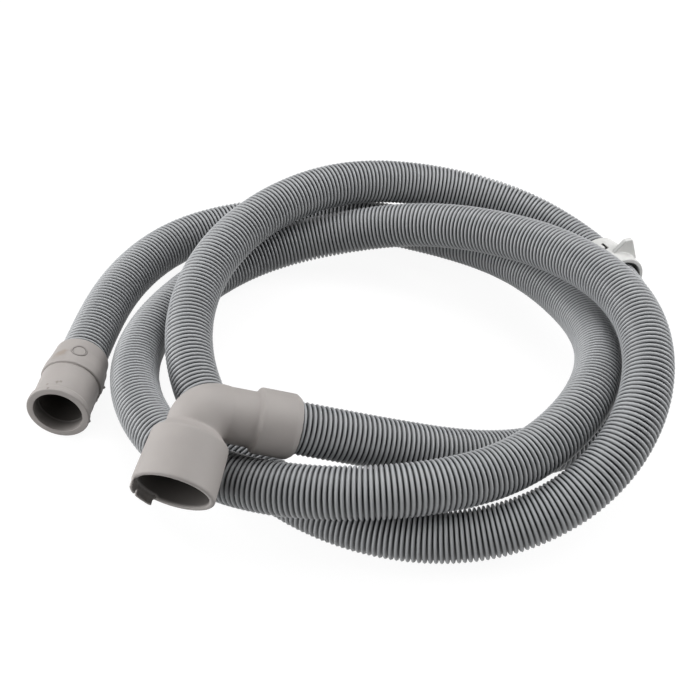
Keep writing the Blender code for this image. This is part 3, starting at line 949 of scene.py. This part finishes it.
@dataclass
class StraightCuff:
    """Turned rubber cuff with widening grip, step, sleeve and lip, a plain moulded ring and mould flash."""

    length: float = 42.6 * MM
    grip_depth: float = 16.0 * MM
    rear: float = 7.0 * MM
    hose_bore: float = 11.05 * MM
    rim: float = 12.2 * MM
    cone_start: float = 14.0 * MM
    cone: float = 13.75 * MM
    step_at: float = 23.9 * MM
    sleeve: float = 13.0 * MM
    lip: float = 13.95 * MM
    lip_width: float = 2.8 * MM
    mouth: float = 10.85 * MM
    ledge_depth: float = 5.2 * MM
    ledge: float = 0.6 * MM
    bore_depth: float = 21.0 * MM
    passage: float = 8.6 * MM
    sides: int = 112
    mark_station: float = 15.6 * MM
    mark_turn: float = math.radians(76.0)
    mark_radius: float = 3.2 * MM
    mark_width: float = 1.05 * MM
    mark_height: float = 0.4 * MM
    mark_steps: int = 64
    flash_turn: float = math.radians(-19.0)
    flash: tuple[tuple[float, float], ...] = (
        (10.5, 0.0), (12.0, 0.35), (13.5, 0.5), (15.0, 0.35), (16.6, 0.2), (18.4, 0.3), (19.2, 1.0),
        (19.9, 0.7), (20.6, 0.2), (22.4, 0.3), (23.7, 0.25), (25.0, 0.35), (26.2, 0.85), (27.2, 0.6),
        (28.4, 0.75), (29.6, 0.3), (31.5, 0.2), (34.0, 0.3), (36.5, 0.2), (39.4, 0.3), (41.0, 0.9),
        (41.8, 0.4), (42.2, 0.0),
    )

    def profile(self) -> list[tuple[float, float, float]]:
        """Outer and inner outline of the cuff.

        Returns:
            (x, radius, fillet) corners.
        """
        lip_start = self.length - self.lip_width
        ledge_at = self.length - self.ledge_depth
        inner = self.mouth - self.ledge
        bore_end = self.length - self.bore_depth
        seat = self.grip_depth + 0.3 * MM
        return [
            (self.rear, self.hose_bore, 0.15 * MM),
            (self.rear, self.rim, 0.7 * MM),
            (self.cone_start, self.rim + 0.6 * MM, 9.0 * MM),
            (self.step_at - 4.0 * MM, self.cone - 0.05 * MM, 5.0 * MM),
            (self.step_at, self.cone, 0.45 * MM),
            (self.step_at + 0.15 * MM, self.sleeve - 0.3 * MM, 0.12 * MM),
            (self.step_at + 1.1 * MM, self.sleeve, 0.5 * MM),
            (lip_start - 0.9 * MM, self.sleeve - 0.1 * MM, 0.8 * MM),
            (lip_start + 0.1 * MM, self.lip - 0.15 * MM, 0.5 * MM),
            (self.length, self.lip, 0.5 * MM),
            (self.length, self.mouth + 0.1 * MM, 0.2 * MM),
            (ledge_at, self.mouth, 0.0),
            (ledge_at - self.ledge, inner, 0.3 * MM),
            (bore_end, inner, 1.0 * MM),
            (bore_end, self.passage, 0.4 * MM),
            (seat, self.passage, 0.0),
            (seat, self.hose_bore, 0.0),
        ]

    def surface(self, station: float) -> float:
        """Outer radius of the cuff, read off the straight lines between its corners.

        Args:
            station: Distance along the cuff's axis, which grows towards the mouth.

        Returns:
            Radius there.
        """
        known = [
            (self.rear, self.rim),
            (self.cone_start, self.rim + 0.6 * MM),
            (self.step_at - 4.0 * MM, self.cone - 0.05 * MM),
            (self.step_at, self.cone),
            (self.step_at + 0.6 * MM, self.sleeve - 0.1 * MM),
            (self.length - self.lip_width - 0.9 * MM, self.sleeve),
            (self.length, self.lip),
        ]
        return float(np.interp(station, [k[0] for k in known], [k[1] for k in known]))

    def mark(self) -> bmesh.types.BMesh:
        """Plain raised ring lying on the grip.

        Returns:
            The ring's mesh, in the cuff's own frame.
        """
        loops = []
        for k in range(self.mark_steps):
            angle = math.tau * k / self.mark_steps
            loop = []
            for out, rise in ((-0.5, -0.5), (-0.5, 0.1), (-0.16, 0.9), (0.16, 0.9), (0.5, 0.1), (0.5, -0.5)):
                radius = self.mark_radius + out * self.mark_width
                station = self.mark_station + radius * math.cos(angle)
                level = self.surface(station)
                turn = self.mark_turn + radius * math.sin(angle) / level
                height = level + rise * self.mark_height
                loop.append(Vector((station, height * math.cos(turn), height * math.sin(turn))))
            loops.append(loop)
        return swept(loops, closed=True)

    def flash_line(self) -> bmesh.types.BMesh:
        """Ragged thin fin where the halves of the mould met.

        Returns:
            The fin's mesh, in the cuff's own frame.
        """
        loops = []
        for station, height in self.flash:
            level = self.surface(station * MM)
            loop = []
            for turn, rise in ((-0.030, -0.3), (-0.008, height), (0.008, height), (0.030, -0.3)):
                radius = level + rise * MM
                angle = self.flash_turn + turn
                loop.append(Vector((station * MM, radius * math.cos(angle), radius * math.sin(angle))))
            loops.append(loop)
        return swept(loops)

    def build(self, rim: tuple[Vector, Vector], material: bpy.types.Material) -> bpy.types.Object:
        """Makes the cuff.

        Args:
            rim: Centre of the rear rim and direction towards the mouth.
            material: Finish.

        Returns:
            The cuff.
        """
        place = frame_at(*rim)
        item = mesh_piece("straight_cuff_moulded", turned(rounded(self.profile()), self.sides), place)
        skin = len(item.data.vertices)
        ring = mesh_piece("ring", self.mark(), place)
        fin = mesh_piece("fin", self.flash_line(), place)
        self.gather(item, [ring, fin])
        # Painted shade: darker the deeper a point lies inside the mouth
        away = local(item, place)
        below = (self.length - 0.15 * MM - away[:, 0]) / MM
        depth = 0.78 * np.clip(below, 0.0, 1.0) + 0.22 * np.clip(below / 8.0, 0.0, 1.0)
        share = depth * (np.hypot(away[:, 1], away[:, 2]) < self.mouth + 0.05 * MM)
        # Painted shade at the ring's feet where it meets the grip, and a lighter share of it over the ring's
        # crest
        foot = np.arange(len(share)) - skin
        lies = (foot >= 0) & (foot < 6 * self.mark_steps)
        share[lies] = np.where(np.isin(foot[lies] % 6, (2, 3)), 0.25, 0.75)
        shaded(item, share)
        return dressed(item, material, "straight_cuff")

    def gather(self, item: bpy.types.Object, parts: list[bpy.types.Object]) -> None:
        """Adds small raised parts to the cuff's mesh.

        Args:
            item: The cuff.
            parts: Small parts, removed once their meshes are in the cuff's.
        """
        bm = bmesh.new()
        for part in [item, *parts]:
            bm.from_mesh(part.data)
        bm.to_mesh(item.data)
        bm.free()
        for part in parts:
            bpy.data.objects.remove(part, do_unlink=True)


# Elbow cuff


@dataclass
class ElbowCuff:
    """Moulded rubber elbow: collar, neck, bend and socket, with a keyed lip."""

    grip_depth: float = 12.5 * MM
    hose_bore: float = 11.05 * MM
    rim: float = 11.7 * MM
    collar: float = 13.15 * MM
    collar_length: float = 16.2 * MM
    collar_step: float = 1.2 * MM
    chamfer: float = 2.2 * MM
    neck: float = 11.1 * MM
    vertex: float = 38.3 * MM
    bend_radius: float = 12.5 * MM
    bend: float = math.radians(79.0)
    roll: float = math.radians(-114.8)
    bulge: float = 0.9 * MM
    outward: float = 0.9 * MM
    flare: float = 2.6 * MM
    passage: float = 8.0 * MM
    bore_set_back: float = 3.0 * MM
    reach: float = 35.3 * MM
    socket_length: float = 25.2 * MM
    socket: float = 16.4 * MM
    top: float = 15.6 * MM
    socket_bore: float = 14.0 * MM
    bore_depth: float = 19.0 * MM
    tongue_length: float = 2.8 * MM
    tongue_thickness: float = 1.1 * MM
    tongue_spread: float = math.radians(75.0)
    tongue_turn: float = math.radians(304.5)
    nick_spread: float = math.radians(4.0)
    nick_turn: float = math.radians(306.0)
    keyway_depth: float = 1.5 * MM
    sides: int = 96
    voxel: float = 0.42 * MM
    bend_steps: int = 24

    def place(self, start: Matrix, station: float) -> Matrix:
        """Frame at a station on the elbow's centreline.

        Args:
            start: Frame at the collar's rim.
            station: Length along the centreline.

        Returns:
            The frame.
        """
        straight = min(station, self.bend_start)
        turn = min(max(station - self.bend_start, 0.0), self.arc) / self.bend_radius
        beyond = max(station - self.bend_start - self.arc, 0.0)
        step = Vector((straight, 0.0, 0.0))
        step += self.bend_radius * Vector((math.sin(turn), 0.0, 1.0 - math.cos(turn)))
        rotation = Matrix.Rotation(-turn, 4, "Y")
        step += rotation @ Vector((beyond, 0.0, 0.0))
        return start @ Matrix.Translation(step) @ rotation

    @property
    def bend_start(self) -> float:
        """Station where the bend starts."""
        return self.vertex - self.bend_radius * math.tan(self.bend / 2)

    @property
    def arc(self) -> float:
        """Length of the bend."""
        return self.bend_radius * self.bend

    def tube(self, start: Matrix) -> bmesh.types.BMesh:
        """Solid collar, neck and bend, flaring into the socket.

        Args:
            start: Frame at the collar's rim.

        Returns:
            The solid.
        """
        outline = rounded([
            (self.chamfer / 2, 0.0, 0.0),
            (0.0, 0.0, 0.0),
            (0.0, self.rim, 0.0),
            (self.chamfer, self.collar, 0.8 * MM),
            (self.collar_length, self.collar, 0.8 * MM),
            (self.collar_length + self.collar_step, self.neck, 1.0 * MM),
            (self.bend_start, self.neck, 0.0),
        ])[2:]
        rings = [(p.x, p.y, 0.0) for p in outline]
        for k in range(1, self.bend_steps):
            part = k / self.bend_steps
            swell = math.sin(math.pi * part)
            station = self.bend_start + self.arc * part
            rings.append((station, self.neck + self.bulge * swell, self.outward * swell))
        flares = ((-0.5, 0.12), (0.0, 0.4), (1.2, 0.75), (2.4, 0.95), (4.5, 1.0))
        end = self.bend_start + self.arc
        rings += [(end + step * MM, self.neck + self.flare * part, 0.0) for step, part in flares]
        loops = []
        for station, radius, shift in rings:
            matrix = self.place(start, station) @ Matrix.Translation((0.0, 0.0, -shift))
            turns = [math.tau * k / self.sides for k in range(self.sides)]
            loops.append([matrix @ Vector((0.0, radius * math.cos(a), radius * math.sin(a))) for a in turns])
        return swept(loops)

    def build(self, rim: tuple[Vector, Vector], material: bpy.types.Material) -> bpy.types.Object:
        """Makes the elbow.

        Args:
            rim: Centre of the collar's rim and direction into the elbow.
            material: Finish.

        Returns:
            The elbow.
        """
        start = frame_at(*rim) @ Matrix.Rotation(self.roll, 4, "X")
        corner = start @ Matrix.Translation((self.vertex, 0.0, 0.0))
        mouth = corner @ Matrix.Rotation(-self.bend, 4, "Y") @ Matrix.Translation((self.reach, 0.0, 0.0))
        inner = self.socket_bore
        seat = self.grip_depth + 0.3 * MM
        neck_bore = self.passage + 0.4 * MM
        bore_reach = self.reach - self.bore_set_back
        neck_reach = self.vertex - self.bore_set_back
        crest = self.socket - 0.4 * MM
        root = crest - self.tongue_thickness
        item = mesh_piece("elbow_cuff_moulded", self.tube(start))
        socket = mesh_piece("socket", turned(rounded([
            (0.0, 0.0, 0.0),
            (0.0, self.socket, 0.8 * MM),
            (8.0 * MM - self.socket_length, self.top, 4.0 * MM),
            (3.4 * MM - self.socket_length, self.top - 0.3 * MM, 1.2 * MM),
            (0.9 * MM - self.socket_length, self.neck + self.flare * 0.6, 0.8 * MM),
            (-self.socket_length, self.neck - 1.0 * MM, 0.0),
            (-self.socket_length, 0.0, 0.0),
        ]), self.sides), mouth)
        bore = mesh_piece("bore", turned(rounded([
            (2.0 * MM, 0.0, 0.0),
            (2.0 * MM, inner + 2.6 * MM, 0.0),
            (-0.6 * MM, inner, 1.0 * MM),
            (-self.bore_depth, inner, 0.0),
            (-self.bore_depth - 3.0 * MM, self.passage, 0.0),
            *round_end(-bore_reach, self.passage, -1),
            (-bore_reach - self.passage, 0.0, 0.0),
        ]), self.sides), mouth)
        grip = mesh_piece("grip", turned(rounded([
            (-2.0 * MM, 0.0, 0.0),
            (-2.0 * MM, self.hose_bore, 0.0),
            (seat, self.hose_bore, 0.0),
            (seat, neck_bore, 0.0),
            *round_end(neck_reach, neck_bore, 1),
            (neck_reach + neck_bore, 0.0, 0.0),
        ]), self.sides), start)
        tongue = mesh_piece("tongue", sector(
            root, crest, -3.0 * MM, self.tongue_length, self.tongue_turn, self.tongue_spread), mouth)
        keyway = mesh_piece("keyway", sector(
            inner - 2.0 * MM, root - 0.1 * MM, -self.keyway_depth, 1.0 * MM, self.tongue_turn,
            1.1 * self.tongue_spread), mouth)
        nick = mesh_piece("nick", sector(
            root - 1.0 * MM, crest + 1.0 * MM, 0.6 * MM, 2 * self.tongue_length, self.nick_turn,
            self.nick_spread, 2), mouth)
        worked(item, [
            (socket, Cut.JOIN), (bore, Cut.TAKE), (grip, Cut.TAKE), (tongue, Cut.JOIN), (keyway, Cut.TAKE),
            (nick, Cut.TAKE),
        ])
        softened(item, self.voxel, 3)
        shoulder = mouth @ Vector((2.0 * MM - self.socket_length, 0.0, 0.0))
        blended(item, shoulder, 21.0 * MM, 7, 15.0 * MM)
        # Painted shade: darker the deeper a point lies inside the socket's mouth, its keyway and the passage
        # behind it
        away = local(item, mouth)
        radius = np.hypot(away[:, 1], away[:, 2])
        below = (-0.3 * MM - away[:, 0]) / MM
        depth = 0.75 * np.clip(below / 1.2, 0.0, 1.0) + 0.25 * np.clip(below / 9.0, 0.0, 1.0)
        deep = away[:, 0] < -self.bore_depth
        bored = radius < np.where(deep, self.passage + 1.0 * MM, root + 0.1 * MM)
        bored &= away[:, 0] > -self.bore_depth - 5.5 * MM
        shaded(item, depth * bored)
        return dressed(item, material, "elbow_cuff")


# Clip


@dataclass
class HoseClip:
    """Moulded clip: a snap band that widens to an ear, and a short hood with room round the hose."""

    middle: tuple[float, float, float] = (117.883 * MM, 68.314 * MM, 13.45 * MM)
    turn: tuple[tuple[float, float, float], ...] = (
        (0.4186, 0.9081, 0.0103), (-0.9079, 0.4187, -0.0223), (-0.0245, 0.0, 0.9997))
    bore: float = 11.55 * MM
    length: float = 21.5 * MM
    rim_wall: float = 0.8 * MM
    wall: float = 2.6 * MM
    hood_length: float = 6.5 * MM
    hood_clearance: float = 0.7 * MM
    hood_wall: float = 2.1 * MM
    opening: float = math.radians(80.0)
    ear_thickness: float = 2.2 * MM
    ear_height: float = 19.6 * MM
    ear_width: float = 9.4 * MM
    ear_corner: float = 1.5 * MM
    slot_width: float = 1.05 * MM
    slot_length: float = 5.0 * MM
    slot_turn: float = 2.4 * MM
    slot_at: float = math.radians(93.6)
    slot_start: float = 5.2 * MM
    slot_shade: float = 1.6 * MM
    sides: int = 80
    voxel: float = 0.25 * MM

    def ear(self) -> bmesh.types.BMesh:
        """Upright plate standing on the clip's upper right quarter.

        Returns:
            The plate.
        """
        root = self.bore + self.hood_clearance
        outline = rounded([
            (-3.0 * MM, root + 0.5 * MM, 0.0), (-1.0 * MM, root + 1.4 * MM, 0.0),
            (self.ear_width - 4.0 * MM, self.ear_height, 1.5 * self.ear_corner),
            (self.ear_width, self.ear_height - 0.2 * MM, self.ear_corner),
            (self.ear_width + 4.2 * MM, 7.0 * MM, 0.0),
        ])
        arc = [math.radians(degrees) for degrees in range(14, 105, 5)]
        outline += [Vector((root * math.cos(a), root * math.sin(a))) for a in arc]
        bm = bmesh.new()
        near = self.length - self.hood_length - self.ear_thickness
        base = bm.faces.new([bm.verts.new((near, p.x, p.y)) for p in outline])
        made = bmesh.ops.extrude_face_region(bm, geom=[base])
        moved = [v for v in made["geom"] if isinstance(v, bmesh.types.BMVert)]
        bmesh.ops.translate(bm, verts=moved, vec=(self.ear_thickness, 0.0, 0.0))
        return bm

    def build(self, material: bpy.types.Material) -> bpy.types.Object:
        """Makes the clip.

        Args:
            material: Finish.

        Returns:
            The clip.
        """
        place = Matrix.Translation(self.middle) @ Matrix(self.turn).to_4x4()
        hood = self.bore + self.hood_clearance
        shoulder = self.length - self.hood_length
        item = mesh_piece("hose_clip_moulded", turned(rounded([
            (0.0, self.bore, 0.0),
            (0.0, self.bore + self.rim_wall, 0.4 * MM),
            (shoulder - 6.0 * MM, self.bore + self.wall, 3.0 * MM),
            (shoulder, self.bore + self.wall, 0.4 * MM),
            (shoulder, hood + self.hood_wall - 0.3 * MM, 0.2 * MM),
            (self.length, hood + self.hood_wall, 0.5 * MM),
            (self.length, hood, 0.3 * MM),
            (shoulder + 1.0 * MM, hood, 0.0),
            (shoulder, self.bore, 0.0),
        ]), self.sides), place)
        ear = mesh_piece("ear", self.ear(), place)
        mouth = mesh_piece("mouth", sector(
            self.bore / 2, 2 * self.bore, -self.length, 2 * self.length, -math.pi / 2, self.opening), place)
        far = self.bore + 2 * self.wall
        corner = self.slot_start + self.slot_length
        turn = self.slot_turn / self.bore
        width = self.slot_width / self.bore
        along = mesh_piece("along", sector(
            self.bore - 1.0 * MM, far, self.slot_start, corner, self.slot_at, width, 2), place)
        across = mesh_piece("across", sector(
            self.bore - 1.0 * MM, far, corner - self.slot_width, corner,
            self.slot_at + (turn - width) / 2, turn, 4), place)
        worked(item, [(ear, Cut.JOIN), (along, Cut.TAKE), (across, Cut.TAKE), (mouth, Cut.TAKE)])
        softened(item, self.voxel, 2)
        # Painted shade inside the slot and, fainter, in the hood's hollow round the hose
        away = local(item, place)
        radius = np.hypot(away[:, 1], away[:, 2])
        turn_at = np.arctan2(away[:, 2], away[:, 1])
        slot = (away[:, 0] > self.slot_start - 0.2 * MM) & (away[:, 0] < corner + 0.2 * MM)
        slot &= (turn_at > self.slot_at - width) & (turn_at < self.slot_at + turn)
        slot &= radius < self.bore + self.slot_shade
        hollow = (away[:, 0] > shoulder - 0.5 * MM) & (radius < hood + 0.12 * MM)
        shaded(item, np.where(slot, 1.0, np.where(hollow, 0.4, 0.0)))
        return dressed(item, material, "hose_clip")


# Everything in order


def cuff_finish(name: str, spots: tuple[Spot, ...] = ()) -> MouldedFinish:
    """Warm grey moulded rubber, with the stains of one cuff."""
    return MouldedFinish(name=name, light=(0.388, 0.361, 0.346), dark=(0.358, 0.334, 0.32), spots=spots)


def main() -> None:
    """Builds the studio and every piece in order."""
    logging.basicConfig(level=logging.INFO, format="%(name)s: %(message)s")
    studio = Studio()
    studio.camera()
    studio.floor()
    studio.light()
    hose = RibbedHose()
    hose.build(RibFinish().build())
    ElbowCuff().build(hose.elbow_rim, cuff_finish("cuff_grey_elbow").build())
    stains = (
        Spot((-0.1304, -0.0172, 0.0272), 3.8 * MM, (0.27, 0.215, 0.17), 0.55, 0.8),
        Spot((-0.13141, -0.04075, 0.0285), 0.75 * MM, (0.13, 0.11, 0.09), 0.7),
        Spot((-0.1285, -0.03617, 0.02767), 1.1 * MM, (0.16, 0.14, 0.11), 0.6, 0.9),
        Spot((-0.1270, -0.0357, 0.0276), 0.9 * MM, (0.18, 0.16, 0.13), 0.6, 0.9),
        Spot((-0.1327, -0.0368, 0.0270), 0.8 * MM, (0.20, 0.18, 0.15), 0.5, 0.9),
    )
    StraightCuff().build(hose.cuff_rim, cuff_finish("cuff_grey_straight", stains).build())
    white = MouldedFinish(
        name="clip_white_moulded", light=(0.725, 0.725, 0.71), dark=(0.67, 0.67, 0.655),
        roughness=(0.35, 0.5), mottle_scale=110.0, specular=0.45)
    HoseClip().build(white.build())


if __name__ == "__main__":
    main()
